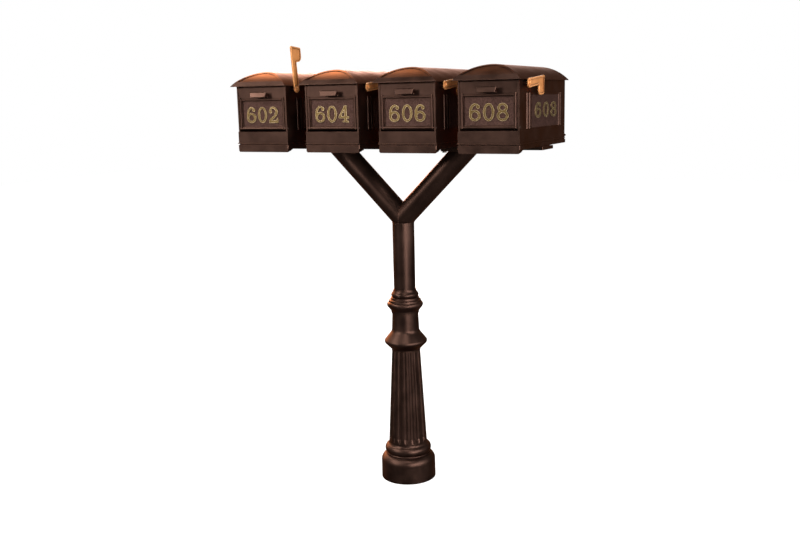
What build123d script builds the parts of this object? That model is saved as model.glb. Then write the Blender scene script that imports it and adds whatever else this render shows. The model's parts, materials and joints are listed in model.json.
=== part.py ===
from build123d import *
import math
import os

# Cluster mailbox unit: four cast boxes on a cross beam, a Y yoke and a fluted post base.
# Millimetres, +Z up, X along the row of boxes, box fronts facing -Y.
# The origin is on the ground, on the post's axis, at the centre of the anchor pattern.

os.makedirs("parts", exist_ok=True)

# ---- driving dimensions ------------------------------------------------------------------

box_count = 4
box_pitch = 318.0  # centre to centre along the row
body_half = 115.0  # half the width of a box over its side walls
wall = 6.0  # cast wall of a box
body_front = -268.0
body_rear = 262.0  # rear edge of the side walls, covered by the rear panel
panel_t = 6.0  # rear panel thickness

plinth_bottom = 1381.0
beam_t = 12.7
beam_width = 127.0
beam_length = 1219.2
beam_top = 1395.0
groove_z = 1413.0
groove_h = 4.0
band_top = 1461.0
eave_z = 1637.0

roof_half = 129.0  # half the width over the eaves
roof_rise = 55.0
roof_front = -292.0
roof_rear = 276.0
roof_t = 4.0
hood_rim = 4.5  # width of the raised rim that follows the arch
hood_rim_depth = 2.0

door_gap = 1.0
hinge_y = -262.0
hinge_z = 1473.0
hinge_r = 7.0  # rolled bottom edge of the door, around the hinge pins
pin_r = 3.0
running_gap = 0.05
door_face = -266.0
door_back = -257.0
door_top = 1635.0
plate_half = 93.0  # half the width of the number plate's recess
plate_bottom = 1480.0
plate_top = 1582.0
plate_t = 3.0
recess_depth = 6.5
plate_slot = 5.0  # open gap between the plate and the lip above it

flag_y = -218.0
flag_z = 1625.0
flag_x = 131.0  # inner face of the flag, outboard of the eave
flag_t = 5.0
flag_bolt_r = 4.0
flag_down_angle = 4.5
flag_up_angle = 96.0

digit_pitch = 52.0
digit_t = 3.0
side_digit_pitch = 92.0

tube_r = 44.45  # 3.5 in tube
tube_wall = 3.2
yoke_z = 1104.0  # height where the two arm axes meet the post's axis
flange_t = 6.35
flange_half_x = 74.0

anchor_r = 100.0
anchor_t = 9.525
anchor_pcd = 152.4
anchor_hole_r = 7.2
flute_count = 18

# ---- values worked out from them ---------------------------------------------------------

row = [(k - (box_count - 1) / 2) * box_pitch for k in range(box_count)]
house_numbers = ["602", "604", "606", "608"]
inner_half = body_half - wall
door_half = inner_half - door_gap
panel_back = body_rear + panel_t
roof_radius = (roof_half**2 + roof_rise**2) / (2 * roof_rise)
roof_centre_z = eave_z + roof_rise - roof_radius
ridge_z = eave_z + roof_rise
beam_bottom = beam_top - beam_t
seam_z = yoke_z - tube_r * (math.sqrt(2) - 1)
arm_top = beam_bottom - flange_t
arm_x = arm_top - yoke_z  # the arms rise at 45 degrees


def plan(x, z):
    """A level plane whose origin is at x, on the row's centre line."""
    return Plane(origin=(x, 0, z))


def facing_front(x, y):
    """An upright plane seen from the front: local x is +X, local y is +Z."""
    return Plane(origin=(x, y, 0), x_dir=(1, 0, 0), z_dir=(0, -1, 0))


def facing_right(x):
    """An upright plane seen from the right: local x is +Y, local y is +Z."""
    return Plane(origin=(x, 0, 0), x_dir=(0, 1, 0), z_dir=(1, 0, 0))


def block(x0, x1, y0, y1, z0, z1, mode=Mode.ADD):
    """A plain block between two corners, in the part that is being built."""
    with BuildSketch(Plane.XY.offset(z0)) as profile:
        with Locations(((x0 + x1) / 2, (y0 + y1) / 2)):
            Rectangle(x1 - x0, y1 - y0)
    extrude(profile.sketch, amount=z1 - z0, mode=mode)


def upright_rod(x, y, z0, z1, radius, mode=Mode.ADD):
    """A vertical round bar or hole."""
    with BuildSketch(Plane.XY.offset(z0)) as profile:
        with Locations((x, y)):
            Circle(radius)
    extrude(profile.sketch, amount=z1 - z0, mode=mode)


def cross_rod(x0, x1, y, z, radius, mode=Mode.ADD):
    """A round bar or hole lying along X."""
    with BuildSketch(facing_right(x0)) as profile:
        with Locations((y, z)):
            Circle(radius)
    extrude(profile.sketch, amount=x1 - x0, mode=mode)


def rear_rod(x, y0, y1, z, radius, mode=Mode.ADD):
    """A round bar or hole lying along Y."""
    with BuildSketch(facing_front(x, y1)) as profile:
        with Locations((0, z)):
            Circle(radius)
    extrude(profile.sketch, amount=y1 - y0, mode=mode)


def save(part, name):
    part.label = name
    export_step(part, f"parts/{name}.step")


# ---- one mailbox: cast body --------------------------------------------------------------

skirt_half = body_half + 3.0
skirt_front = body_front - 4.0
band_half = body_half + 1.5
band_front = body_front - 2.0
groove_half = body_half + 1.0
groove_front = band_front + 5.0
bead_half = band_half + 2.5
bead_front = band_front - 2.5
bead_h = 4.0
toe_depth = 38.0
toe_rise = 11.0
toe_edge = 8.0  # flat underside at the front of the toe
skirt_inner_front = body_front + 10.0
skirt_inner_rear = body_rear - 4.0
floor_t = 6.0
stop_face = door_back + 1.0  # front of the frame that the closed door stops against
stop_t = 8.0
stop_half = 99.0
stop_bottom = 1490.0
header_bottom = 1622.0
corner_post = 14.0
corner_post_top = 1625.0
cover_screw_r = 2.0
cover_screw_x = body_half - 13.0
rear_screw_z = (1484.0, 1610.0)
roof_lug_x = 100.0
roof_lug_y = (-190.0, 190.0)
roof_lug_r = 8.0
roof_lug_t = 6.0
bolt_dx = 20.0
bolt_dy = 48.0
bolt_boss_r = 9.0
box_bolt_r = 4.0
boss_r = 10.0
magnet_half = 12.0
magnet_h = 8.0
magnet_t = 5.0
magnet_z = header_bottom + 3.0
frame_bottom = 1466.0
frame_top = 1590.0
side_beads = ((-194.0, -182.0, 4.0), (-168.0, -148.0, 5.0), (176.0, 193.0, 5.0), (202.0, 222.0, 4.0))
side_plate_span = (-144.0, 172.0)
side_plate_t = 2.5


def plinth_toe(x):
    """The wedge under the front of the skirt, with its lower corners cut off."""
    half = skirt_half - 2
    with BuildPart() as toe:
        with BuildSketch(facing_right(x - half)):
            with BuildLine():
                Polyline(
                    (skirt_front, beam_top + 2),
                    (skirt_front, plinth_bottom),
                    (skirt_front + toe_edge, plinth_bottom),
                    (skirt_front + toe_depth - 2, plinth_bottom + toe_rise),
                    (skirt_front + toe_depth, beam_top + 2),
                    close=True,
                )
            make_face()
        extrude(amount=2 * half)
        with BuildSketch(facing_front(x, skirt_front + toe_depth + 1)):
            with BuildLine():
                Polyline(
                    (-half, beam_top + 2),
                    (-half, plinth_bottom + 5),
                    (-half + 5, plinth_bottom),
                    (half - 5, plinth_bottom),
                    (half, plinth_bottom + 5),
                    (half, beam_top + 2),
                    close=True,
                )
            make_face()
        extrude(amount=toe_depth + 2, mode=Mode.INTERSECT)
    return toe.part


def box_shell(x):
    toe = plinth_toe(x)
    with BuildPart() as shell:
        block(x - skirt_half, x + skirt_half, skirt_front, panel_back, beam_top, groove_z - groove_h)
        chamfer(shell.edges().filter_by(Axis.Z).group_by(Axis.Y)[0], 2.0)
        add(toe)
        block(x - groove_half, x + groove_half, groove_front, body_rear, groove_z - groove_h, groove_z)
        block(x - band_half, x + band_half, band_front, body_rear, groove_z, band_top)
        chamfer(shell.edges().filter_by(Axis.X).group_by(Axis.Z)[-1].sort_by(Axis.Y)[0], 1.5)
        block(x - bead_half, x + bead_half, bead_front, body_rear, groove_z, groove_z + bead_h)
        block(x - body_half, x - inner_half, body_front, body_rear, band_top, eave_z)
        block(x + inner_half, x + body_half, body_front, body_rear, band_top, eave_z)
        block(
            x - inner_half, x + inner_half, skirt_inner_front, skirt_inner_rear,
            beam_top, band_top - floor_t, Mode.SUBTRACT,
        )
        # Frame behind the door, with the magnet's pocket in its top bar.
        for side in (-1, 1):
            lo, hi = sorted((x + side * stop_half, x + side * inner_half))
            block(lo, hi, stop_face, stop_face + stop_t - 2, stop_bottom, eave_z)
        block(x - inner_half, x + inner_half, stop_face, stop_face + stop_t, header_bottom, eave_z)
        block(
            x - magnet_half, x + magnet_half, stop_face, stop_face + magnet_t,
            magnet_z, magnet_z + magnet_h, Mode.SUBTRACT,
        )
        # Rear corner posts that take the rear panel's screws.
        for side in (-1, 1):
            lo, hi = sorted((x + side * (inner_half - corner_post), x + side * inner_half))
            block(lo, hi, body_rear - corner_post, body_rear, band_top, corner_post_top)
            for z in rear_screw_z:
                rear_rod(x + side * cover_screw_x, body_rear - corner_post + 2, body_rear, z,
                         cover_screw_r, Mode.SUBTRACT)
        # Lugs at the top of the walls, screwed up into the roof.
        for side in (-1, 1):
            for y in roof_lug_y:
                lug = x + side * roof_lug_x
                upright_rod(lug, y, eave_z - roof_lug_t, eave_z, roof_lug_r)
                lo, hi = sorted((lug, x + side * inner_half))
                block(lo, hi, y - roof_lug_r, y + roof_lug_r, eave_z - roof_lug_t, eave_z)
                upright_rod(lug, y, eave_z - roof_lug_t, eave_z, cover_screw_r, Mode.SUBTRACT)
        # Bosses under the floor that stand on the beam and take its bolts.
        for side in (-1, 1):
            for end in (-1, 1):
                upright_rod(x + side * bolt_dx, end * bolt_dy, beam_top, band_top - floor_t, bolt_boss_r)
                upright_rod(x + side * bolt_dx, end * bolt_dy, beam_top, beam_top + 40, box_bolt_r,
                            Mode.SUBTRACT)
        for end in (-1, 1):
            block(x - inner_half, x - bolt_dx - box_bolt_r - 1, end * bolt_dy - 2.5, end * bolt_dy + 2.5,
                  beam_top + 8, band_top - floor_t)
            block(x + bolt_dx + box_bolt_r + 1, x + inner_half, end * bolt_dy - 2.5, end * bolt_dy + 2.5,
                  beam_top + 8, band_top - floor_t)
        # Raised stiles and top rail around each side plate.
        for side in (-1, 1):
            face = x + side * body_half
            for y0, y1, proud in side_beads:
                with BuildSketch(Plane.XY.offset(frame_bottom)):
                    with BuildLine():
                        ThreePointArc((face, y0), (face + side * proud, (y0 + y1) / 2), (face, y1))
                        Line((face, y1), (face, y0))
                    make_face()
                extrude(amount=frame_top - frame_bottom)
            lo, hi = sorted((face, face + side * 3.5))
            block(lo, hi, side_beads[1][1], side_beads[2][0], frame_top - 5, frame_top)
        # Boss for the flag's bolt, and the holes for the bolt and the hinge pins.
        cross_rod(x + body_half, x + flag_x - 0.3, flag_y, flag_z, boss_r)
        cross_rod(x + inner_half, x + flag_x, flag_y, flag_z, flag_bolt_r, Mode.SUBTRACT)
        for side in (-1, 1):
            lo, hi = sorted((x + side * inner_half, x + side * body_half))
            cross_rod(lo, hi, hinge_y, hinge_z, pin_r, Mode.SUBTRACT)
    return shell.part


# ---- one mailbox: roof -------------------------------------------------------------------

roof_pad = (105.0, 116.0)  # the ribs that sit on the side walls, as distances from the centre
hood_lip = (roof_front, eave_z + 3)  # top of the short upright lip along the eave
hood_knee = (roof_front + 9, eave_z + 18)  # where the steep band turns into the bonnet
hood_middle = (roof_front + 37.2, eave_z + 40.3)
hood_crown = (roof_front + 70, ridge_z)
hood_end = (roof_front + 140, ridge_z + 21.4)  # carries on in line, above the ridge
hood_normal = (0.6, -0.8)  # mean direction into the bonnet, back and down
hood_shell = roof_t + hood_rim_depth + 0.2


def arch_height(distance, radius):
    """Height of a roof arc at a distance from the box's centre line."""
    return roof_centre_z + math.sqrt(radius**2 - distance**2)


def hood_front(x, inset):
    """All that lies in front of the bonnet's surface, the surface moved inwards by inset."""

    def moved(point):
        return (point[0] + inset * hood_normal[0], point[1] + inset * hood_normal[1])

    low = eave_z - 40
    high = ridge_z + 120
    with BuildPart() as region:
        with BuildSketch(facing_right(x - 2 * roof_half)):
            with BuildLine():
                Polyline((moved(hood_lip)[0], low), moved(hood_lip), moved(hood_knee))
                ThreePointArc(moved(hood_knee), moved(hood_middle), moved(hood_crown))
                Polyline(
                    moved(hood_crown),
                    moved(hood_end),
                    (moved(hood_end)[0], high),
                    (roof_front - 20, high),
                    (roof_front - 20, low),
                    (moved(hood_lip)[0], low),
                )
            make_face()
        extrude(amount=4 * roof_half)
    return region.part


def bonnet_recess(x):
    """The tool that sinks the bonnet inside a raised rim along the arch."""
    radius = roof_radius - hood_rim
    knee_z = hood_knee[1]
    edge = math.sqrt(radius**2 - (knee_z - roof_centre_z) ** 2)
    front = hood_front(x, hood_rim_depth)
    with BuildPart() as recess:
        with BuildSketch(facing_front(x, hood_end[0])):
            with BuildLine():
                ThreePointArc((-edge, knee_z), (0, roof_centre_z + radius), (edge, knee_z))
                Line((edge, knee_z), (-edge, knee_z))
            make_face()
        extrude(amount=hood_end[0] - roof_front + 10)
        add(front, mode=Mode.INTERSECT)
    return recess.part


def roof_hollow(x):
    """The space under the roof: the vault between the ribs, and a channel under each eave."""
    radius = roof_radius - roof_t
    crown = roof_centre_z + radius
    pad_in, pad_out = roof_pad
    edge = math.sqrt(radius**2 - (eave_z - 1 - roof_centre_z) ** 2)
    front = hood_front(x, hood_shell)
    with BuildPart() as hollow:
        with BuildSketch(facing_front(x, roof_rear + 1)):
            with BuildLine():
                ThreePointArc((-pad_in, arch_height(pad_in, radius)), (0, crown),
                              (pad_in, arch_height(pad_in, radius)))
                Polyline((pad_in, arch_height(pad_in, radius)), (pad_in, eave_z - 1),
                         (-pad_in, eave_z - 1), (-pad_in, arch_height(pad_in, radius)))
            make_face()
            for side in (-1, 1):
                middle = (pad_out + edge) / 2
                with BuildLine():
                    ThreePointArc((side * pad_out, arch_height(pad_out, radius)),
                                  (side * middle, arch_height(middle, radius)),
                                  (side * edge, eave_z - 1))
                    Polyline((side * edge, eave_z - 1), (side * pad_out, eave_z - 1),
                             (side * pad_out, arch_height(pad_out, radius)))
                make_face()
        extrude(amount=roof_rear + 1 - roof_front - roof_t)
        add(front, mode=Mode.SUBTRACT)
    return hollow.part


roof_boss_top = arch_height(roof_lug_x + roof_lug_r, roof_radius - roof_t)


def roof(x):
    hollow = roof_hollow(x)
    front = hood_front(x, 0)
    recess = bonnet_recess(x)
    with BuildPart() as cover:
        with BuildSketch(facing_front(x, roof_rear)):
            with BuildLine():
                ThreePointArc((-roof_half, eave_z), (0, ridge_z), (roof_half, eave_z))
                Line((roof_half, eave_z), (-roof_half, eave_z))
            make_face()
        extrude(amount=roof_rear - roof_front + 2)
        add(front, mode=Mode.SUBTRACT)
        add(recess, mode=Mode.SUBTRACT)
        add(hollow, mode=Mode.SUBTRACT)
        for side in (-1, 1):
            for y in roof_lug_y:
                upright_rod(x + side * roof_lug_x, y, eave_z, roof_boss_top, roof_lug_r - 1)
                upright_rod(x + side * roof_lug_x, y, eave_z, eave_z + 14, cover_screw_r, Mode.SUBTRACT)
    return cover.part


# ---- one mailbox: rear panel and side plates ---------------------------------------------

ledge_z = 1423.5
ledge_depth = 24.0
ledge_h = 13.0
ledge_tip = 2.0  # half the thickness of the ledge's edge
rear_border = (188.0, 172.0)  # outer and inner width of the raised border
rear_border_t = 2.5


def rear_panel(x):
    radius = roof_radius - roof_t - 0.5
    shoulder = roof_pad[0] - 0.5
    with BuildPart() as panel:
        with BuildSketch(facing_front(x, panel_back)):
            with BuildLine():
                ThreePointArc((-shoulder, arch_height(shoulder, radius)), (0, roof_centre_z + radius),
                              (shoulder, arch_height(shoulder, radius)))
                Polyline(
                    (shoulder, arch_height(shoulder, radius)),
                    (shoulder, eave_z - 0.5),
                    (body_half, eave_z - 0.5),
                    (body_half, groove_z - groove_h),
                    (-body_half, groove_z - groove_h),
                    (-body_half, eave_z - 0.5),
                    (-shoulder, eave_z - 0.5),
                    (-shoulder, arch_height(shoulder, radius)),
                )
            make_face()
        extrude(amount=panel_t)
        # Drip ledge along the bottom, with a thin lip.
        with BuildSketch(facing_right(x - body_half + 2)):
            with BuildLine():
                Polyline(
                    (panel_back - 1, ledge_z - ledge_h / 2),
                    (panel_back, ledge_z - ledge_h / 2),
                    (panel_back + ledge_depth, ledge_z - ledge_tip),
                    (panel_back + ledge_depth, ledge_z + ledge_tip),
                    (panel_back, ledge_z + ledge_h / 2),
                    (panel_back - 1, ledge_z + ledge_h / 2),
                    close=True,
                )
            make_face()
        extrude(amount=2 * body_half - 4)
        # Raised border of the plain panel.
        with BuildSketch(facing_front(x, panel_back)):
            with Locations((0, (frame_bottom + frame_top) / 2)):
                Rectangle(rear_border[0], frame_top - frame_bottom)
                Rectangle(rear_border[1], frame_top - frame_bottom - 16, mode=Mode.SUBTRACT)
        extrude(amount=-rear_border_t)
        for side in (-1, 1):
            for z in rear_screw_z:
                rear_rod(x + side * cover_screw_x, body_rear, panel_back, z, cover_screw_r, Mode.SUBTRACT)
    return panel.part


def side_plates(x):
    y0, y1 = side_plate_span
    with BuildPart() as plates:
        for side in (-1, 1):
            lo, hi = sorted((x + side * body_half, x + side * (body_half + side_plate_t)))
            block(lo, hi, y0, y1, frame_bottom + 2, frame_top - 7)
    return plates.part


# ---- one mailbox: door, handle, plate, strike --------------------------------------------

rib_span = (97.0, 104.0)
rib_face = -272.0
rib_top = 1592.0
lip_h = 6.0
lip_reach = 5.0
pin_depth = 14.0
handle_z = 1603.5
handle_half = 38.0
handle_h = 19.0
handle_t = 6.0
handle_reach = 30.0  # from the door's face to the lower front edge of the grip
handle_lean = 7.0  # how far the top of the grip lies behind its bottom
handle_plate_t = 2.5
handle_plate_half = 30.0
strike_half = 15.0
strike_h = 10.0
strike_t = 1.5


def door(x):
    with BuildPart() as panel:
        block(x - door_half, x + door_half, door_face, door_back, hinge_z, door_top)
        chamfer(panel.edges().filter_by(Axis.X).group_by(Axis.Z)[-1].sort_by(Axis.Y)[0], 1.5)
        cross_rod(x - door_half, x + door_half, hinge_y, hinge_z, hinge_r)
        for side in (-1, 1):
            lo, hi = sorted((x + side * rib_span[0], x + side * rib_span[1]))
            with BuildSketch(Plane.XY.offset(hinge_z - 3)):
                with BuildLine():
                    ThreePointArc((lo, rib_face + 3.5), ((lo + hi) / 2, rib_face), (hi, rib_face + 3.5))
                    Polyline((hi, rib_face + 3.5), (hi, door_face + 1), (lo, door_face + 1),
                             (lo, rib_face + 3.5))
                make_face()
            extrude(amount=rib_top - hinge_z + 3)
        lip_face = door_face - lip_reach
        block(x - rib_span[0], x + rib_span[0], lip_face, door_face, plate_top, plate_top + lip_h)
        lip_edges = panel.edges().filter_by(Axis.X).filter_by_position(Axis.Y, lip_face - 0.1, lip_face + 0.1)
        chamfer(lip_edges, 1.2)
        block(x - plate_half, x + plate_half, door_face, door_face + recess_depth,
              plate_bottom, plate_top, Mode.SUBTRACT)
        for side in (-1, 1):
            lo, hi = sorted((x + side * (door_half - pin_depth), x + side * door_half))
            cross_rod(lo, hi, hinge_y, hinge_z, pin_r + running_gap, Mode.SUBTRACT)
        block(x - strike_half, x + strike_half, door_back - strike_t, door_back,
              magnet_z + magnet_h / 2 - strike_h / 2, magnet_z + magnet_h / 2 + strike_h / 2, Mode.SUBTRACT)
    return panel.part


def handle_grip(x):
    """The leaning grip, wider at the top, with a chamfered face."""
    front = door_face - handle_reach
    low = handle_z - handle_h / 2
    high = handle_z + handle_h / 2
    with BuildPart() as grip:
        with BuildSketch(facing_right(x - handle_half)):
            with BuildLine():
                Polyline(
                    (front, low),
                    (front + handle_t, low),
                    (front + handle_t + handle_lean - 1, high),
                    (front + handle_lean, high),
                    close=True,
                )
            make_face()
        extrude(amount=2 * handle_half)
        with BuildSketch(facing_front(x, front + handle_t + handle_lean + 1)):
            with BuildLine():
                Polyline(
                    (-handle_half, high + 1),
                    (handle_half, high + 1),
                    (handle_half - 5, low - 1),
                    (-handle_half + 5, low - 1),
                    close=True,
                )
            make_face()
        extrude(amount=handle_t + handle_lean + 2, mode=Mode.INTERSECT)
        face = grip.faces().filter_by(lambda f: f.normal_at().Y < -0.8)
        chamfer(face.edges(), 1.5)
    return grip.part


def door_handle(x):
    grip = handle_grip(x)
    grip_inside = door_face - handle_reach + handle_lean
    with BuildPart() as handle:
        block(x - handle_plate_half, x + handle_plate_half, door_face - handle_plate_t, door_face,
              handle_z - 11, handle_z + 11)
        chamfer(handle.edges().filter_by(Axis.Y, reverse=True).group_by(Axis.Y)[0], 1.0)
        add(grip)
        for side in (-1, 1):
            lo, hi = sorted((x + side * (handle_plate_half - 6), x + side * handle_plate_half))
            block(lo, hi, grip_inside, door_face - handle_plate_t + 1, handle_z - 6, handle_z + 6)
    return handle.part


def number_plate(x):
    back = door_face + recess_depth
    with BuildPart() as plate:
        block(x - plate_half + 0.5, x + plate_half - 0.5, back - plate_t, back,
              plate_bottom + 0.5, plate_top - plate_slot)
    return plate.part


def door_strike(x):
    middle = magnet_z + magnet_h / 2
    with BuildPart() as strike:
        block(x - strike_half + 0.2, x + strike_half - 0.2, door_back - strike_t, door_back,
              middle - strike_h / 2 + 0.2, middle + strike_h / 2 - 0.2)
    return strike.part


# ---- numerals ----------------------------------------------------------------------------
# Each figure is centred on the origin, 62 mm tall, with serifs and round terminals.


def figure_zero():
    with BuildSketch() as figure:
        Ellipse(21, 31)
        Ellipse(12, 23.5, mode=Mode.SUBTRACT)
    return figure.sketch


def figure_two():
    with BuildSketch() as figure:
        with Locations((0, 12)):
            Ellipse(20, 19)
        with Locations((-1, 12.5)):
            Ellipse(10.5, 11.5, mode=Mode.SUBTRACT)
        with Locations((-15, -2)):
            Rectangle(30, 28, mode=Mode.SUBTRACT)
        with Locations((10, -7)):
            Rectangle(24, 20, mode=Mode.SUBTRACT)
        with Locations((-13.2, 12.5)):
            Circle(6.6)
        with BuildLine():
            Spline((19.9, 10), (15, -3), (3, -13.5), (-8, -22), tangents=((-0.1, -1), (-1, -0.8)))
            Line((-8, -22), (-20.5, -22))
            Spline((-20.5, -22), (-7, -9), (6, 0.5), (9.4, 10), tangents=((1, 1.2), (0.1, 1)))
            Line((9.4, 10), (19.9, 10))
        make_face()
        with Locations((0, -26.5)):
            Rectangle(41, 9)
        with BuildLine():
            Polyline((13, -23), (17.5, -12.5), (21.5, -12.5), (20.5, -23), close=True)
        make_face()
    return figure.sketch


def figure_four():
    with BuildSketch() as figure:
        with Locations((7, 0)):
            Rectangle(10, 62)
        with Locations((7, -28)):
            Rectangle(25, 6)
        with Locations((0, -12)):
            Rectangle(43, 8)
        with BuildLine():
            Polyline((-21.5, -8), (2, 31), (9, 31), (2, 17), (-11.5, -8), close=True)
        make_face()
    return figure.sketch


def figure_six():
    with BuildSketch() as figure:
        with Locations((1, 0)):
            Ellipse(22.5, 31)
        with Locations((4.5, 0.5)):
            Ellipse(16.5, 24.3, mode=Mode.SUBTRACT)
        with Locations((16, -8)):
            Rectangle(30, 52, mode=Mode.SUBTRACT)
        with Locations((24, 20)):
            Rectangle(20, 30, mode=Mode.SUBTRACT)
        with Locations((12, 19.5)):
            Circle(6.6)
        with Locations((0, -11.5)):
            Ellipse(21.5, 19.5)
            Ellipse(12, 12, mode=Mode.SUBTRACT)
    return figure.sketch


def figure_eight():
    with BuildSketch() as figure:
        with Locations((0, 14.5)):
            Ellipse(18.5, 16.5)
        with Locations((0, -12.5)):
            Ellipse(21.5, 18.5)
        with Locations((0, 15)):
            Ellipse(9.8, 9, mode=Mode.SUBTRACT)
        with Locations((0, -13)):
            Ellipse(12.3, 10.8, mode=Mode.SUBTRACT)
    return figure.sketch


figures = {"0": figure_zero(), "2": figure_two(), "4": figure_four(), "6": figure_six(), "8": figure_eight()}
digit_z = 1526.0
side_digit_z = 1529.0
side_digit_stretch = (1.55, 0.9)


def numerals(text, plane, pitch, stretch):
    """Cast figures side by side on a plane, stretched across and up, each its own solid."""
    pieces = []
    for k, character in enumerate(text):
        shift = (k - (len(text) - 1) / 2) * pitch
        with BuildPart() as piece:
            with BuildSketch(plane):
                with Locations((shift, 0)):
                    add(scale(figures[character], by=(*stretch, 1), mode=Mode.PRIVATE))
            extrude(amount=digit_t)
        pieces.extend(piece.solids())
    return Compound(children=pieces)


# ---- flag --------------------------------------------------------------------------------

flag_reach = 164.0
flag_foot_reach = 152.0  # reach of the plate's lower outer corner
flag_plate_start = 100.0
flag_drop = 52.0
arm_up = 15.0
arm_down = 17.0
arm_round = (arm_up + arm_down) / 2
border = 5.0
border_depth = 2.2


def flag(x, angle):
    """A cast arm with a plate at its far end, turned about its bolt to an angle above level."""
    turn = math.radians(angle)
    inner = Plane(
        origin=(x + flag_x, flag_y, flag_z),
        x_dir=(0, math.cos(turn), math.sin(turn)),
        z_dir=(1, 0, 0),
    )
    with BuildSketch() as outline:
        with BuildLine():
            ThreePointArc((0, -arm_down), (-arm_round, arm_up - arm_round), (0, arm_up))
            Polyline(
                (0, arm_up),
                (flag_reach, arm_up),
                (flag_foot_reach, -flag_drop),
                (flag_plate_start, -flag_drop),
                (flag_plate_start, -arm_down + 2),
                (0, -arm_down),
            )
        make_face()
        fillet(outline.vertices().sort_by_distance((flag_reach, arm_up))[0], 5)
        fillet(outline.vertices().sort_by_distance((flag_foot_reach, -flag_drop))[0], 6)
        fillet(outline.vertices().sort_by_distance((flag_plate_start, -flag_drop))[0], 20)
        fillet(outline.vertices().sort_by_distance((flag_plate_start, -arm_down + 2))[0], 5)
    with BuildPart() as arm:
        with BuildSketch(inner):
            add(outline.sketch)
        extrude(amount=flag_t)
        chamfer(arm.faces().sort_by(Axis.X)[-1].edges(), 0.8)
        with BuildSketch(inner.offset(flag_t)):
            add(outline.sketch)
            offset(amount=-border, kind=Kind.INTERSECTION)
            Circle(11, mode=Mode.SUBTRACT)
        extrude(amount=-border_depth, mode=Mode.SUBTRACT)
        with BuildSketch(inner):
            Circle(flag_bolt_r + running_gap)
        extrude(amount=flag_t, mode=Mode.SUBTRACT)
    return arm.part


# ---- post and yoke -----------------------------------------------------------------------


def yoke_arm(side):
    """One arm of the Y: a tube at 45 degrees, mitred on the post's centre plane."""
    with BuildPart() as arm:
        with BuildSketch(Plane(origin=(0, 0, yoke_z), x_dir=(0, 1, 0), z_dir=(side, 0, 1))):
            Circle(tube_r)
            Circle(tube_r - tube_wall, mode=Mode.SUBTRACT)
        extrude(amount=2 * arm_x, both=True)
        split(bisect_by=Plane(origin=(0, 0, 0), z_dir=(side, 0, 0)), keep=Keep.TOP)
        split(bisect_by=Plane.XY.offset(seam_z), keep=Keep.TOP)
        split(bisect_by=Plane.XY.offset(arm_top), keep=Keep.BOTTOM)
    return arm.part


flange_bolt_r = 5.0
flange_bolt_dx = 62.0
flange_nut_t = 5.0
flange_bolt_dy = 50.0
flange_bolt_places = [
    (side * arm_x + dx * flange_bolt_dx, dy * flange_bolt_dy)
    for side in (-1, 1)
    for dx in (-1, 1)
    for dy in (-1, 1)
]
sink_r = 8.0  # countersinks of the box bolts, under the beam
sink_head_r = 7.6
on_base = (Align.CENTER, Align.CENTER, Align.MIN)
box_bolt_places = [(x + dx * bolt_dx, dy * bolt_dy) for x in row for dx in (-1, 1) for dy in (-1, 1)]

with BuildPart() as post_tube:
    with BuildSketch(Plane.XY.offset(anchor_t)):
        Circle(tube_r)
        Circle(tube_r - tube_wall, mode=Mode.SUBTRACT)
    extrude(amount=seam_z - anchor_t)

with BuildPart() as anchor_plate:
    with BuildSketch():
        Circle(anchor_r)
        with PolarLocations(anchor_pcd / 2, 4, start_angle=45):
            Circle(anchor_hole_r, mode=Mode.SUBTRACT)
    extrude(amount=anchor_t)
    chamfer(anchor_plate.edges().group_by(Axis.Z)[-1].sort_by(SortBy.RADIUS)[-1], 1.0)

with BuildPart() as arm_flanges:
    with BuildSketch(Plane.XY.offset(arm_top)):
        with Locations((-arm_x, 0), (arm_x, 0)):
            RectangleRounded(2 * flange_half_x, beam_width, 6)
        with Locations(*flange_bolt_places):
            Circle(flange_bolt_r, mode=Mode.SUBTRACT)
    extrude(amount=flange_t)

with BuildPart() as cross_beam:
    with BuildSketch(Plane.XY.offset(beam_bottom)):
        Rectangle(beam_length, beam_width)
    extrude(amount=beam_t)
    chamfer(cross_beam.edges(), 1.2)
    with BuildSketch(Plane.XY.offset(beam_bottom)):
        with Locations(*flange_bolt_places):
            Circle(flange_bolt_r)
        with Locations(*box_bolt_places):
            Circle(box_bolt_r)
    extrude(amount=beam_t, mode=Mode.SUBTRACT)
    with Locations(Plane.XY.offset(beam_bottom)):
        with Locations(*box_bolt_places):
            Cone(sink_r, box_bolt_r, sink_r - box_bolt_r, align=on_base, mode=Mode.SUBTRACT)

# ---- decorative castings around the post -------------------------------------------------

ring_top = 103.0
column_top = 552.0
neck_top = 711.0
shaft_foot = (79.7, 158.0)
shaft_head = (58.9, column_top)
flute_levels = (157.0, 180.0, 565.0)  # foot of the run-out, full depth, and past the column's top
flute_radii = (11.8, 11.5, 8.4)
flute_depths = (-0.4, 5.0, 5.0)
casting_bore = tube_r + 0.3

with BuildPart() as base_ring:
    with BuildSketch(Plane.XZ):
        with BuildLine():
            Polyline((107, 0), (114, 0), (113.5, 70))
            ThreePointArc((113.5, 70), (111, 86), (102, 98))
            Polyline((102, 98), (94, ring_top), (60, ring_top), (60, ring_top - 7), (97, 91.5),
                     (106, 82), (107, 0))
        make_face()
    revolve(axis=Axis.Z)


def shaft_radius(z):
    """Outer radius of the tapering column at a height."""
    part = (z - shaft_foot[1]) / (shaft_head[1] - shaft_foot[1])
    return shaft_foot[0] + part * (shaft_head[0] - shaft_foot[0])


def flute():
    """The tool for one flute: a tapering half-round channel that fades out at its foot."""
    with BuildPart() as tool:
        for z, radius, depth in zip(flute_levels, flute_radii, flute_depths):
            with BuildSketch(Plane.XY.offset(z)):
                with Locations((shaft_radius(z) + radius - depth, 0)):
                    Circle(radius)
        loft(ruled=True)
    return tool.part


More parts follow.
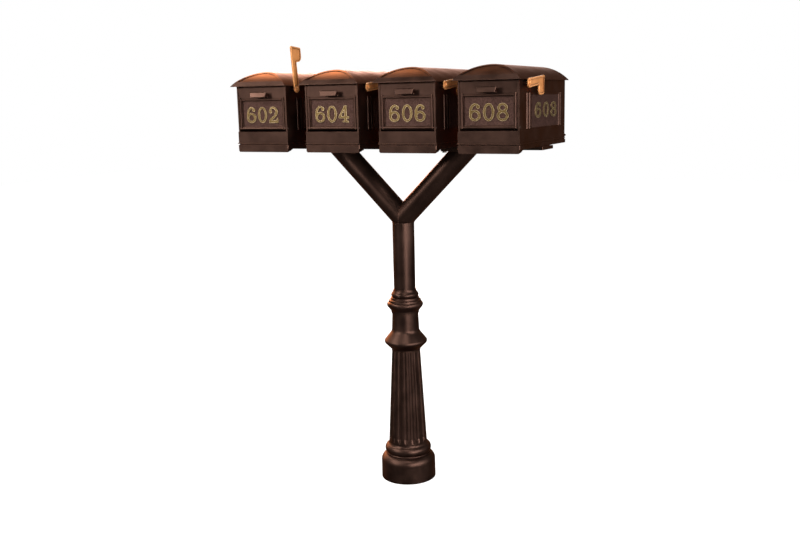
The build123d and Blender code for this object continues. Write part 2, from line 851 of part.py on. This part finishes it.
flute_tool = flute()
with BuildPart() as fluted_column:
    with BuildSketch(Plane.XZ):
        with BuildLine():
            Line((70, ring_top), (92, ring_top))
            ThreePointArc((92, ring_top), (95.5, 107.5), (92, 112))
            ThreePointArc((92, 112), (96.8, 127), (84.5, 145))
            ThreePointArc((84.5, 145), (80.6, 150.5), shaft_foot)
            Polyline(shaft_foot, shaft_head, (49, column_top), (69, 158), (70, ring_top))
        make_face()
    revolve(axis=Axis.Z)
    with PolarLocations(0, flute_count, start_angle=-90):
        add(flute_tool, mode=Mode.SUBTRACT)

with BuildPart() as column_neck:
    with BuildSketch(Plane.XZ):
        with BuildLine():
            Polyline((48, column_top), (60, column_top), (60, 558), (84, 582))
            ThreePointArc((84, 582), (88.3, 592), (84.5, 600))
            Line((84.5, 600), (61.5, 629))
            ThreePointArc((61.5, 629), (58, 635.5), (56.6, 643))
            Polyline((56.6, 643), (54.2, 703), (54.2, neck_top), (48, neck_top), (48, column_top))
        make_face()
    revolve(axis=Axis.Z)

with BuildPart() as upper_collar:
    with BuildSketch(Plane.XZ):
        with BuildLine():
            Polyline((casting_bore, neck_top), (57, neck_top), (58, 720), (69.5, 735))
            ThreePointArc((69.5, 735), (74.3, 744), (72, 754))
            Polyline((72, 754), (67, 757), (66, 765), (60, 768), (59, 775), (53.5, 778))
            ThreePointArc((53.5, 778), (56.5, 786.5), (53.5, 795))
            ThreePointArc((53.5, 795), (49, 801), (46.5, 810))
            Polyline((46.5, 810), (casting_bore, 810), (casting_bore, neck_top))
        make_face()
    revolve(axis=Axis.Z)
    with Locations(Plane.XY.offset(786.5)):
        with PolarLocations(0, 3, start_angle=30):
            Cylinder(3, 60, rotation=(0, 90, 0), align=on_base, mode=Mode.SUBTRACT)

with BuildPart() as collar_screws:
    with Locations(Plane.XY.offset(786.5)):
        with PolarLocations(tube_r, 3, start_angle=30):
            Cylinder(3, 11, rotation=(0, 90, 0), align=on_base)

# ---- fasteners and small parts shared by the whole row -----------------------------------

with BuildPart() as hinge_pins:
    for x in row:
        for side in (-1, 1):
            lo, hi = sorted((x + side * (door_half - pin_depth + 1), x + side * (body_half + 0.5)))
            cross_rod(lo, hi, hinge_y, hinge_z, pin_r)

with BuildPart() as flag_bolts:
    for x in row:
        head = x + flag_x + flag_t + 0.3
        cross_rod(x + inner_half - 9, head, flag_y, flag_z, flag_bolt_r)
        cross_rod(head, head + 4, flag_y, flag_z, 8)
        chamfer(flag_bolts.faces().sort_by(Axis.X)[-1].edges(), 1.8)

with BuildPart() as flag_nuts:
    for x in row:
        with BuildSketch(facing_right(x + inner_half - 6.5)):
            with Locations((flag_y, flag_z)):
                RegularPolygon(6.5, 6, major_radius=False)
                Circle(flag_bolt_r, mode=Mode.SUBTRACT)
        extrude(amount=6.5)

with BuildPart() as door_magnets:
    for x in row:
        block(x - magnet_half, x + magnet_half, stop_face, stop_face + magnet_t, magnet_z, magnet_z + magnet_h)

with BuildPart() as cover_screws:
    for x in row:
        for side in (-1, 1):
            for y in roof_lug_y:
                upright_rod(x + side * roof_lug_x, y, eave_z - roof_lug_t - 2.5, eave_z - roof_lug_t, 4)
                upright_rod(x + side * roof_lug_x, y, eave_z - roof_lug_t, eave_z + 12, cover_screw_r)
            for z in rear_screw_z:
                rear_rod(x + side * cover_screw_x, panel_back, panel_back + 2.5, z, 4)
                rear_rod(x + side * cover_screw_x, body_rear - 10, panel_back, z, cover_screw_r)

with BuildPart() as box_bolts:
    for x, y in box_bolt_places:
        upright_rod(x, y, beam_bottom, beam_top + 34, box_bolt_r)
    with Locations(Plane.XY.offset(beam_bottom)):
        with Locations(*box_bolt_places):
            Cone(sink_head_r, box_bolt_r, sink_head_r - box_bolt_r, align=on_base)

with BuildPart() as flange_bolts:
    for x, y in flange_bolt_places:
        upright_rod(x, y, arm_top - flange_nut_t - 1, beam_top, flange_bolt_r)
        upright_rod(x, y, beam_top, beam_top + 4.5, 11)
    chamfer(flange_bolts.edges().group_by(Axis.Z)[-1], 2.5)

with BuildPart() as flange_nuts:
    with BuildSketch(Plane.XY.offset(arm_top)):
        with Locations(*flange_bolt_places):
            RegularPolygon(8.5, 6, major_radius=False)
            Circle(flange_bolt_r, mode=Mode.SUBTRACT)
    extrude(amount=-flange_nut_t)

# ---- write every piece -------------------------------------------------------------------

plate_front = door_face + recess_depth - plate_t
for k, x in enumerate(row):
    number = k + 1
    save(box_shell(x), f"box_shell_{number}")
    save(roof(x), f"roof_{number}")
    save(rear_panel(x), f"rear_panel_{number}")
    save(side_plates(x), f"side_plates_{number}")
    save(door(x), f"door_{number}")
    save(door_handle(x), f"door_handle_{number}")
    save(number_plate(x), f"number_plate_{number}")
    save(door_strike(x), f"door_strike_{number}")
    front = Plane(origin=(x, plate_front, digit_z), x_dir=(1, 0, 0), z_dir=(0, -1, 0))
    save(numerals(house_numbers[k], front, digit_pitch, (1, 1)), f"numerals_{number}")
    save(flag(x, flag_up_angle if k == 0 else flag_down_angle), f"flag_{number}")

right_side = Plane(
    origin=(row[-1] + body_half + side_plate_t, sum(side_plate_span) / 2, side_digit_z),
    x_dir=(0, 1, 0),
    z_dir=(1, 0, 0),
)
save(numerals(house_numbers[-1], right_side, side_digit_pitch, side_digit_stretch), "side_numerals")
save(yoke_arm(-1), "yoke_arm_left")
save(yoke_arm(1), "yoke_arm_right")

shared = {
    "post_tube": post_tube,
    "anchor_plate": anchor_plate,
    "arm_flanges": arm_flanges,
    "cross_beam": cross_beam,
    "base_ring": base_ring,
    "fluted_column": fluted_column,
    "column_neck": column_neck,
    "upper_collar": upper_collar,
    "collar_screws": collar_screws,
    "hinge_pins": hinge_pins,
    "flag_bolts": flag_bolts,
    "flag_nuts": flag_nuts,
    "door_magnets": door_magnets,
    "cover_screws": cover_screws,
    "box_bolts": box_bolts,
    "flange_bolts": flange_bolts,
    "flange_nuts": flange_nuts,
}
for name, piece in shared.items():
    save(piece.part, name)
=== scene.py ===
import json
import math
import random
import bpy
from mathutils import Matrix, Vector


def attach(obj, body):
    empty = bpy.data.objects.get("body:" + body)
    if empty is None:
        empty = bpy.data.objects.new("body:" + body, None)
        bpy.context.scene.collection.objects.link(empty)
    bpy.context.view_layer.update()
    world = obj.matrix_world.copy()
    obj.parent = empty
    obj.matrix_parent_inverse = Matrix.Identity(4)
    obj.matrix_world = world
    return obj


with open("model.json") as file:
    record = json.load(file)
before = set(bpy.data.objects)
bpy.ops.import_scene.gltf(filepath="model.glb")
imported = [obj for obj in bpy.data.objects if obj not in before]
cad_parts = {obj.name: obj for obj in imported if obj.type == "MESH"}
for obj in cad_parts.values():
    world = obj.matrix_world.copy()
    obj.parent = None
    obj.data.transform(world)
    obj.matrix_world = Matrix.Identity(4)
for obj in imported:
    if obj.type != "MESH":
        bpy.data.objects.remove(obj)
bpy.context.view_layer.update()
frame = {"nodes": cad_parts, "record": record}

nodes = frame["nodes"]
print("frame loaded:", len(nodes), "pieces")


def addNode(tree, kind, at, inputs=None, **settings):
    node = tree.nodes.new(kind)
    node.location = at
    for name, value in settings.items():
        setattr(node, name, value)
    for socket, value in (inputs or {}).items():
        if isinstance(value, bpy.types.NodeSocket):
            tree.links.new(value, node.inputs[socket])
        else:
            node.inputs[socket].default_value = value
    return node


def newGroup(name, inputs, outputs):
    tree = bpy.data.node_groups.new(name, "ShaderNodeTree")
    for label, kind, value in inputs:
        socket = tree.interface.new_socket(label, in_out="INPUT", socket_type=kind)
        if value is not None:
            socket.default_value = value
    for label, kind in outputs:
        tree.interface.new_socket(label, in_out="OUTPUT", socket_type=kind)
    return tree, addNode(tree, "NodeGroupInput", (-900, 0)), addNode(tree, "NodeGroupOutput", (700, 0))


def useGroup(tree, group, at, **values):
    # A value named grainSize goes to the input called Grain size.
    node = addNode(tree, "ShaderNodeGroup", at)
    node.node_tree = group
    for label, value in values.items():
        name = "".join(" " + c.lower() if c.isupper() else c for c in label).strip().capitalize()
        if isinstance(value, bpy.types.NodeSocket):
            tree.links.new(value, node.inputs[name])
        else:
            node.inputs[name].default_value = value
    return node


def mathNode(tree, operation, a, b, at, clamp=False):
    return addNode(tree, "ShaderNodeMath", at, {0: a, 1: b}, operation=operation, use_clamp=clamp).outputs[0]


def mixColour(tree, factor, a, b, at):
    return addNode(tree, "ShaderNodeMix", at, {0: factor, 6: a, 7: b}, data_type="RGBA").outputs[2]


def remap(tree, value, given, wanted, at, kind="LINEAR"):
    # Stretches one span of values over another and stops at its ends.
    spans = {"Value": value, 1: given[0], 2: given[1], 3: wanted[0], 4: wanted[1]}
    return addNode(tree, "ShaderNodeMapRange", at, spans, interpolation_type=kind).outputs[0]


skinLook = {"waveSpan": (0.3, 0.7), "fleckSpan": (0.36, 0.66), "patchScale": 90.0, "patchSpan": (0.35, 0.65),
            "dustScale": 14.0, "dustSlope": (0.2, 1.0), "roughSwing": (-0.06, 0.08)}
whole = (0.0, 1.0)


def makeCastGrain():
    # Fine orange peel over slow waves: the skin of powder coat on a casting.
    tree, given, out = newGroup(
        "castGrain",
        [("Grain size", "NodeSocketFloat", 0.002), ("Wave size", "NodeSocketFloat", 0.05),
         ("Grain share", "NodeSocketFloat", 0.7)],
        [("Height", "NodeSocketFloat"), ("Drift", "NodeSocketFloat")],
    )
    where = addNode(tree, "ShaderNodeTexCoord", (-900, -300)).outputs["Object"]
    grainScale = mathNode(tree, "DIVIDE", 1.0, given.outputs["Grain size"], (-700, 200))
    waveScale = mathNode(tree, "DIVIDE", 1.0, given.outputs["Wave size"], (-700, 0))
    grain = addNode(tree, "ShaderNodeTexNoise", (-450, 200),
                    {"Vector": where, "Scale": grainScale, "Detail": 2.0, "Roughness": 0.6})
    wave = addNode(tree, "ShaderNodeTexNoise", (-450, -50),
                   {"Vector": where, "Scale": waveScale, "Detail": 3.0, "Roughness": 0.5})
    shared = addNode(tree, "ShaderNodeMix", (-150, 100),
                     {0: given.outputs["Grain share"], 2: wave.outputs[0], 3: grain.outputs[0]})
    tree.links.new(shared.outputs[0], out.inputs["Height"])
    tree.links.new(wave.outputs[0], out.inputs["Drift"])
    return tree


def makeEdgeHighlight():
    # Where the rounded normal leaves the real one, the surface bends: an edge. The mask marks these edges for
    # a painted highlight, broken up by noise.
    tree, given, out = newGroup(
        "edgeHighlight",
        [("Radius", "NodeSocketFloat", 0.002), ("Reach", "NodeSocketFloat", 4.0),
         ("Breakup", "NodeSocketFloat", 0.5)],
        [("Mask", "NodeSocketFloat")],
    )
    rounded = addNode(tree, "ShaderNodeBevel", (-700, 100), {"Radius": given.outputs["Radius"]}, samples=4)
    flat = addNode(tree, "ShaderNodeNewGeometry", (-700, -100)).outputs["Normal"]
    along = addNode(tree, "ShaderNodeVectorMath", (-450, 0), {0: rounded.outputs[0], 1: flat},
                    operation="DOT_PRODUCT").outputs["Value"]
    bend = mathNode(tree, "SUBTRACT", 1.0, along, (-250, 0))
    strong = mathNode(tree, "MULTIPLY", bend, given.outputs["Reach"], (-80, 0), True)
    where = addNode(tree, "ShaderNodeTexCoord", (-700, -300)).outputs["Object"]
    patch = addNode(tree, "ShaderNodeTexNoise", (-450, -300),
                    {"Vector": where, "Scale": skinLook["patchScale"], "Detail": 4.0}).outputs[0]
    broken = remap(tree, patch, skinLook["patchSpan"], whole, (-250, -300))
    kept = addNode(tree, "ShaderNodeMix", (80, -150),
                   {0: given.outputs["Breakup"], 2: 1.0, 3: broken}).outputs[0]
    tree.links.new(mathNode(tree, "MULTIPLY", strong, kept, (300, 0), True), out.inputs["Mask"])
    return tree


def makeDustFilm():
    # A thin film of dust on what faces up, broken by slow noise.
    tree, given, out = newGroup(
        "dustFilm",
        [("Amount", "NodeSocketFloat", 0.2)],
        [("Mask", "NodeSocketFloat")],
    )
    normal = addNode(tree, "ShaderNodeNewGeometry", (-700, 100)).outputs["Normal"]
    up = addNode(tree, "ShaderNodeSeparateXYZ", (-500, 100), {0: normal}).outputs["Z"]
    facing = remap(tree, up, skinLook["dustSlope"], whole, (-300, 100))
    where = addNode(tree, "ShaderNodeTexCoord", (-700, -200)).outputs["Object"]
    cloud = addNode(tree, "ShaderNodeTexNoise", (-500, -200),
                    {"Vector": where, "Scale": skinLook["dustScale"], "Detail": 5.0}).outputs[0]
    film = mathNode(tree, "MULTIPLY", facing, cloud, (-50, 0))
    amount = mathNode(tree, "MULTIPLY", film, given.outputs["Amount"], (200, 0), True)
    tree.links.new(amount, out.inputs["Mask"])
    return tree


def makeCreviceShade():
    # Painted shade: inner corners, recesses and the foot of raised work are darkened where ambient occlusion
    # closes in.
    tree, given, out = newGroup(
        "creviceShade",
        [("Reach", "NodeSocketFloat", 0.006), ("Strength", "NodeSocketFloat", 1.5)],
        [("Mask", "NodeSocketFloat")],
    )
    openness = addNode(tree, "ShaderNodeAmbientOcclusion", (-600, 0), {"Distance": given.outputs["Reach"]},
                       samples=6, only_local=True).outputs["AO"]
    closed = mathNode(tree, "SUBTRACT", 1.0, openness, (-350, 0))
    tree.links.new(mathNode(tree, "MULTIPLY", closed, given.outputs["Strength"], (-100, 0), True),
                   out.inputs["Mask"])
    return tree


castGrain = makeCastGrain()
edgeHighlight = makeEdgeHighlight()
dustFilm = makeDustFilm()
creviceShade = makeCreviceShade()

# Dark metals keep their colour head on and turn copper at a glancing angle.
# Each look's edge colour is a painted highlight along edges, and its darkest colour, mixed in at hollows, is
# painted shade.
bronzeCoat = {"dark": (0.040, 0.022, 0.017, 1), "light": (0.070, 0.039, 0.030, 1),
              "edge": (0.30, 0.16, 0.11, 1), "dust": (0.15, 0.09, 0.07, 1), "hollowShade": (0.010, 0.006, 0.005, 1),
              "glance": (0.95, 0.54, 0.42, 1),
              "metallic": 0.96, "roughness": 0.40, "specular": 0.25}
plaqueCoat = {"dark": (0.045, 0.024, 0.020, 1), "light": (0.105, 0.058, 0.048, 1),
              "edge": (0.22, 0.12, 0.09, 1), "dust": (0.16, 0.11, 0.09, 1), "hollowShade": (0.012, 0.008, 0.007, 1),
              "glance": (0.6, 0.38, 0.3, 1),
              "metallic": 0.7, "roughness": 0.5, "specular": 0.2}
figureMetal = {"dark": (0.12, 0.078, 0.028, 1), "light": (0.19, 0.128, 0.048, 1),
               "edge": (0.85, 0.66, 0.40, 1), "hollowShade": (0.05, 0.03, 0.012, 1), "glance": (0.9, 0.8, 0.6, 1),
               "metallic": 0.75, "roughness": 0.34, "specular": 0.4}
flagCoat = {"dark": (0.56, 0.22, 0.065, 1), "light": (0.80, 0.34, 0.12, 1),
            "edge": (0.98, 0.60, 0.32, 1), "hollowShade": (0.16, 0.055, 0.018, 1), "glance": (1.0, 0.75, 0.5, 1),
            "metallic": 0.3, "roughness": 0.36, "specular": 0.4}
zincSteel = {"dark": (0.16, 0.13, 0.11, 1), "light": (0.30, 0.26, 0.23, 1),
             "edge": (0.5, 0.46, 0.42, 1), "hollowShade": (0.03, 0.02, 0.015, 1), "glance": (0.8, 0.78, 0.76, 1),
             "metallic": 0.95, "roughness": 0.4, "specular": 0.5}
ferrite = {"dark": (0.010, 0.010, 0.011, 1), "light": (0.03, 0.03, 0.032, 1),
           "edge": (0.06, 0.06, 0.065, 1), "hollowShade": (0.004, 0.004, 0.004, 1), "glance": (0.3, 0.3, 0.3, 1),
           "metallic": 0.2, "roughness": 0.7, "specular": 0.3}


def makeFinish(name, look, grainSize=0.0022, waveSize=0.06, grainShare=0.7, bump=0.00012,
               highlightRadius=0.0022, highlightReach=3.0, highlightShare=0.45, breakup=0.55, dust=0.0, speckle=0.0,
               hollowShade=0.8, creviceReach=0.006):
    material = bpy.data.materials.new(name)
    material.use_nodes = True
    tree = material.node_tree
    shader = tree.nodes["Principled BSDF"]
    grain = useGroup(tree, castGrain, (-900, 200), grainSize=grainSize, waveSize=waveSize,
                     grainShare=grainShare)
    edgeLight = useGroup(tree, edgeHighlight, (-900, -100), radius=highlightRadius, reach=highlightReach, breakup=breakup)
    drift = remap(tree, grain.outputs["Drift"], skinLook["waveSpan"], whole, (-650, 350))
    if speckle:
        fleck = remap(tree, grain.outputs["Height"], skinLook["fleckSpan"], whole, (-650, 550))
        drift = addNode(tree, "ShaderNodeMix", (-450, 500), {0: speckle, 2: drift, 3: fleck}).outputs[0]
    colour = mixColour(tree, drift, look["dark"], look["light"], (-450, 300))
    # Painted highlight: edges are lightened toward the edge colour.
    edgeLit = mathNode(tree, "MULTIPLY", edgeLight.outputs["Mask"], highlightShare, (-650, -100))
    colour = mixColour(tree, edgeLit, colour, look["edge"], (-250, 200))
    if dust:
        film = useGroup(tree, dustFilm, (-900, -350), amount=dust)
        colour = mixColour(tree, film.outputs["Mask"], colour, look["dust"], (-80, 200))
    # Painted shade: hollows are darkened toward a near-black colour by ambient occlusion.
    crevice = useGroup(tree, creviceShade, (-900, -550), reach=creviceReach, strength=hollowShade)
    colour = mixColour(tree, crevice.outputs["Mask"], colour, look["hollowShade"], (80, 200))
    tree.links.new(colour, shader.inputs["Base Color"])
    roughSpan = [look["roughness"] + swing for swing in skinLook["roughSwing"]]
    rough = remap(tree, grain.outputs["Drift"], skinLook["waveSpan"], roughSpan, (-450, 0))
    tree.links.new(rough, shader.inputs["Roughness"])
    height = addNode(tree, "ShaderNodeBump", (-250, -250),
                     {"Strength": 1.0, "Distance": bump, "Height": grain.outputs["Height"]})
    tree.links.new(height.outputs[0], shader.inputs["Normal"])
    shader.inputs["Metallic"].default_value = look["metallic"]
    shader.inputs["Specular IOR Level"].default_value = look["specular"]
    shader.inputs["Specular Tint"].default_value = look["glance"]
    return material


finishes = {
    "castings": makeFinish("bronzeCasting", bronzeCoat, dust=0.3),
    "post": makeFinish("bronzeTube", bronzeCoat, grainSize=0.0018, waveSize=0.12, dust=0.15),
    "plaques": makeFinish("pebbledPlaque", plaqueCoat, grainSize=0.0055, waveSize=0.03, grainShare=0.95,
                          bump=0.0012, dust=0.1, speckle=0.75),
    "figures": makeFinish("agedBrassFigures", figureMetal, grainSize=0.003, waveSize=0.012, bump=0.00015,
                          highlightRadius=0.0026, highlightReach=9.0, highlightShare=1.0, breakup=0.15, hollowShade=1.2),
    "flags": makeFinish("copperFlagCoat", flagCoat, grainSize=0.0025, waveSize=0.04, bump=0.00012,
                        highlightRadius=0.0025, highlightReach=5.0, highlightShare=0.8, hollowShade=3.0, creviceReach=0.012),
    "steel": makeFinish("zincSteel", zincSteel, grainSize=0.0009, waveSize=0.01, bump=0.00004),
    "magnets": makeFinish("ferriteBlock", ferrite, grainSize=0.001, waveSize=0.01, bump=0.00008),
}
print("materials made:", len(finishes))

# slot: (width, segments), on bends sharper than edgeAngle
softEdge = {"castings": (0.0012, 2), "post": (0.0008, 2), "plaques": (0.0008, 2),
            "figures": (0.0013, 3), "flags": (0.0007, 2)}
edgeAngle = math.radians(32)

for entry in frame["record"]["subparts"]:
    node = nodes[entry["node"]]
    slotName = entry["material_slot"]
    node.data.materials.clear()
    node.data.materials.append(finishes[slotName])
    if slotName in softEdge:
        edge = node.modifiers.new("softEdge", "BEVEL")
        edge.width, edge.segments = softEdge[slotName]
        edge.limit_method = "ANGLE"
        edge.angle_limit = edgeAngle
print("finishes laid on the castings")


yokeWeld = {"seamRadius": 0.0018, "seamRipple": 3, "flangeRadius": 0.0032, "flangeRipple": 4,
            "flangeSink": 0.0006, "steps": 150, "sides": 8, "swell": 0.2, "wobble": 0.06,
            "offAxis": (0.31, 0.17, 0.94),
            "seeds": {"postSeamBead": 11, "mitreBead": 12, "armBeadLeft": 12, "armBeadRight": 14}}


def highCorner(node):
    spots = [node.matrix_world @ vertex.co for vertex in node.data.vertices]
    return Vector([max(spot[axis] for spot in spots) for axis in range(3)])


def makeBead(look, name, path, closed, thickness, perRipple):
    # A lumpy weld bead: a round tube along a path, swelling with every ripple.
    rng = random.Random(look["seeds"][name])
    sides = look["sides"]
    verts, faces = [], []
    count = len(path)
    for k, here in enumerate(path):
        before = path[k - 1] if k or closed else here
        after = path[(k + 1) % count] if k < count - 1 or closed else here
        along = (after - before).normalized()
        side = along.cross(Vector(look["offAxis"])).normalized()
        lift = side.cross(along)
        ripple = 0.5 + 0.5 * math.cos(2 * math.pi * k / perRipple)
        share = 1 - look["swell"] + look["swell"] * ripple + rng.uniform(-look["wobble"], look["wobble"])
        radius = thickness * share
        for j in range(sides):
            turn = 2 * math.pi * j / sides
            verts.append(here + radius * (side * math.cos(turn) + lift * math.sin(turn)))
    for k in range(count if closed else count - 1):
        for j in range(sides):
            a, b = k * sides + j, k * sides + (j + 1) % sides
            c, d = ((k + 1) % count) * sides + (j + 1) % sides, ((k + 1) % count) * sides + j
            faces.append((a, b, c, d))
    if not closed:
        faces.append(tuple(range(sides)))
        faces.append(tuple((count - 1) * sides + j for j in reversed(range(sides))))
    mesh = bpy.data.meshes.new(name)
    mesh.from_pydata(verts, [], faces)
    mesh.polygons.foreach_set("use_smooth", [True] * len(faces))
    mesh.materials.append(finishes["post"])
    piece = bpy.data.objects.new(name, mesh)
    bpy.context.collection.objects.link(piece)
    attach(piece, "root")


def ringPath(middle, alongX, alongY, steps):
    turns = [2 * math.pi * k / steps for k in range(steps)]
    return [Vector(middle) + Vector((alongX * math.cos(turn), alongY * math.sin(turn), 0)) for turn in turns]


def makeYokeWelds(look):
    # The arms leave the post at 45 degrees, so their cuts are root two times as long as the tube is wide.
    root2 = math.sqrt(2)
    steps = look["steps"]
    tube, _, seamHeight = highCorner(nodes["post_tube"])
    armTop = highCorner(nodes["yoke_arm_left"]).z
    meet = seamHeight + tube * (root2 - 1)  # where the arms' axes cross the post's
    seam = ringPath((0, 0, seamHeight), tube, tube, steps)
    makeBead(look, "postSeamBead", seam, True, look["seamRadius"], look["seamRipple"])
    low = math.asin((seamHeight - meet) / (tube * root2))
    mitre = []
    for k in range(steps):
        turn = low + (math.pi - 2 * low) * k / (steps - 1)
        mitre.append(Vector((0, tube * math.cos(turn), meet + tube * root2 * math.sin(turn))))
    makeBead(look, "mitreBead", mitre, False, look["seamRadius"], look["seamRipple"])
    for name, side in (("armBeadLeft", -1), ("armBeadRight", 1)):
        middle = (side * (armTop - meet), 0, armTop - look["flangeSink"])
        ring = ringPath(middle, tube * root2, tube, steps)
        makeBead(look, name, ring, True, look["flangeRadius"], look["flangeRipple"])


makeYokeWelds(yokeWeld)
print("welds laid on the yoke")

# The floor shows paler with distance, from the near end of reach to its far end.
floorLook = {"half": 14.0, "colour": (0.35, 0.35, 0.35, 1), "bounce": (0.10, 0.10, 0.10, 1),
             "reach": (0.3, 2.2), "glow": (0.86, 1.0)}


def makeFloor(look):
    mesh = bpy.data.meshes.new("studioFloor")
    half = look["half"]
    mesh.from_pydata([(-half, -half, 0), (half, -half, 0), (half, half, 0), (-half, half, 0)], [],
                     [(0, 1, 2, 3)])
    floor = bpy.data.objects.new("studioFloor", mesh)
    bpy.context.collection.objects.link(floor)
    paint = bpy.data.materials.new("paleFloor")
    paint.use_nodes = True
    tree = paint.node_tree
    tree.nodes.clear()
    seen = addNode(tree, "ShaderNodeLightPath", (-400, 300)).outputs["Is Camera Ray"]
    shaded = addNode(tree, "ShaderNodeBsdfDiffuse", (-400, 0), {"Color": look["colour"]})
    where = addNode(tree, "ShaderNodeTexCoord", (-1000, -150)).outputs["Object"]
    away = addNode(tree, "ShaderNodeVectorMath", (-800, -150), {0: where},
                   operation="LENGTH").outputs["Value"]
    strength = remap(tree, away, look["reach"], look["glow"], (-600, -150), "SMOOTHSTEP")
    glow = addNode(tree, "ShaderNodeEmission", (-400, -150), {"Strength": strength})
    shown = addNode(tree, "ShaderNodeAddShader", (-150, 0), {0: shaded.outputs[0], 1: glow.outputs[0]})
    bounce = addNode(tree, "ShaderNodeBsdfDiffuse", (-400, -300), {"Color": look["bounce"]})
    both = addNode(tree, "ShaderNodeMixShader", (100, 0),
                   {0: seen, 1: bounce.outputs[0], 2: shown.outputs[0]})
    addNode(tree, "ShaderNodeOutputMaterial", (300, 0), {0: both.outputs[0]})
    mesh.materials.append(paint)


makeFloor(floorLook)

lightPlan = {
    # name: (place, aim, size, watts, colour)
    "lowKeyBox": ((-3.9, -6.2, 3.1), (0, 0, 1.35), 1.3, 170, (1.0, 0.95, 0.90)),
    "highKeyBox": ((-3.4, -2.9, 4.1), (0, 0, 1.5), 1.2, 130, (1.0, 0.94, 0.88)),
    "bonnetBox": ((-2.0, 1.15, 3.75), (0, -0.2, 1.6), 1.5, 90, (1.0, 0.96, 0.90)),
    "topFrontBox": ((0.9, -1.9, 4.3), (0, -0.2, 0.6), 1.2, 40, (1.0, 0.93, 0.88)),
    "postBox": ((2.6, -2.3, 1.2), (0, 0, 0.95), 1.6, 85, (1.0, 0.95, 0.92)),
    "rightFillBox": ((4.5, -0.8, 2.2), (0, 0, 1.3), 2.6, 130, (1.0, 0.97, 0.95)),
    "rearLeftBox": ((-2.8, 3.8, 2.2), (0, 0, 1.4), 2.2, 140, (1.0, 0.95, 0.91)),
}


def aimAt(thing, target):
    thing.rotation_euler = (Vector(target) - thing.location).to_track_quat("-Z", "Y").to_euler()


for name, (place, aim, size, watts, colour) in lightPlan.items():
    lamp = bpy.data.lights.new(name, "AREA")
    lamp.shape = "SQUARE"
    lamp.size = size
    lamp.energy = watts
    lamp.color = colour
    holder = bpy.data.objects.new(name, lamp)
    holder.location = place
    bpy.context.collection.objects.link(holder)
    aimAt(holder, aim)

# A bright sheet behind and to the left, fading out from 25 to 42 degrees above level, and a dim room.
backdrop = {"white": (1, 1, 1, 1), "sheet": 3.0, "room": 0.17, "shown": 1.0,
            "towards": (-0.77, 0.64, 0.0), "sides": (0.74, 0.92), "heights": (0.42, 0.67)}


def makeWorld(look):
    world = bpy.data.worlds.new("paleStudio")
    world.use_nodes = True
    bpy.context.scene.world = world
    tree = world.node_tree
    tree.nodes.clear()
    where = addNode(tree, "ShaderNodeTexCoord", (-1100, 0)).outputs["Generated"]
    height = addNode(tree, "ShaderNodeSeparateXYZ", (-900, -150), {0: where}).outputs["Z"]
    level = addNode(tree, "ShaderNodeVectorMath", (-900, 150), {0: where, 1: (1, 1, 0)}, operation="MULTIPLY")
    level = addNode(tree, "ShaderNodeVectorMath", (-750, 150), {0: level.outputs[0]}, operation="NORMALIZE")
    facing = addNode(tree, "ShaderNodeVectorMath", (-600, 150), {0: level.outputs[0], 1: look["towards"]},
                     operation="DOT_PRODUCT").outputs["Value"]
    across = remap(tree, facing, look["sides"], whole, (-450, 150), "SMOOTHSTEP")
    upward = remap(tree, height, look["heights"], (1.0, 0.0), (-450, -150), "SMOOTHSTEP")
    sheet = mathNode(tree, "MULTIPLY", across, upward, (-300, 0))
    strength = remap(tree, sheet, whole, (look["room"], look["sheet"]), (-150, 0))
    lit = addNode(tree, "ShaderNodeBackground", (0, 100), {"Color": look["white"], "Strength": strength})
    shown = addNode(tree, "ShaderNodeBackground", (0, -100),
                    {"Color": look["white"], "Strength": look["shown"]})
    seen = addNode(tree, "ShaderNodeLightPath", (0, 350)).outputs["Is Camera Ray"]
    both = addNode(tree, "ShaderNodeMixShader", (200, 0), {0: seen, 1: lit.outputs[0], 2: shown.outputs[0]})
    addNode(tree, "ShaderNodeOutputWorld", (400, 0), {0: both.outputs[0]})


makeWorld(backdrop)

cameraLook = {"place": (1.67351, -3.33926, 1.57873), "yaw": 25.78, "pitch": 10.65, "roll": -1.15,
              "lens": 41.6556, "sensor": 36.0, "shift": (-0.0221, 0.0067)}


def makeCamera(look):
    yaw, pitch, roll = (math.radians(look[key]) for key in ("yaw", "pitch", "roll"))
    ahead = Vector((-math.sin(yaw) * math.cos(pitch), math.cos(yaw) * math.cos(pitch), -math.sin(pitch)))
    right = Vector((math.cos(yaw), math.sin(yaw), 0))
    up = right.cross(ahead)
    rightRolled = right * math.cos(roll) + up * math.sin(roll)
    upRolled = up * math.cos(roll) - right * math.sin(roll)
    data = bpy.data.cameras.new("studioCamera")
    data.sensor_width = look["sensor"]
    data.lens = look["lens"]
    data.shift_x, data.shift_y = look["shift"]
    camera = bpy.data.objects.new("studioCamera", data)
    bpy.context.collection.objects.link(camera)
    turn = Matrix((rightRolled, upRolled, -ahead)).transposed().to_4x4()
    camera.matrix_world = Matrix.Translation(Vector(look["place"])) @ turn
    bpy.context.scene.camera = camera


makeCamera(cameraLook)
view = bpy.context.scene.view_settings
view.view_transform = "Standard"
view.look = "None"
view.exposure = 0.0
print("floor, lights and camera placed")
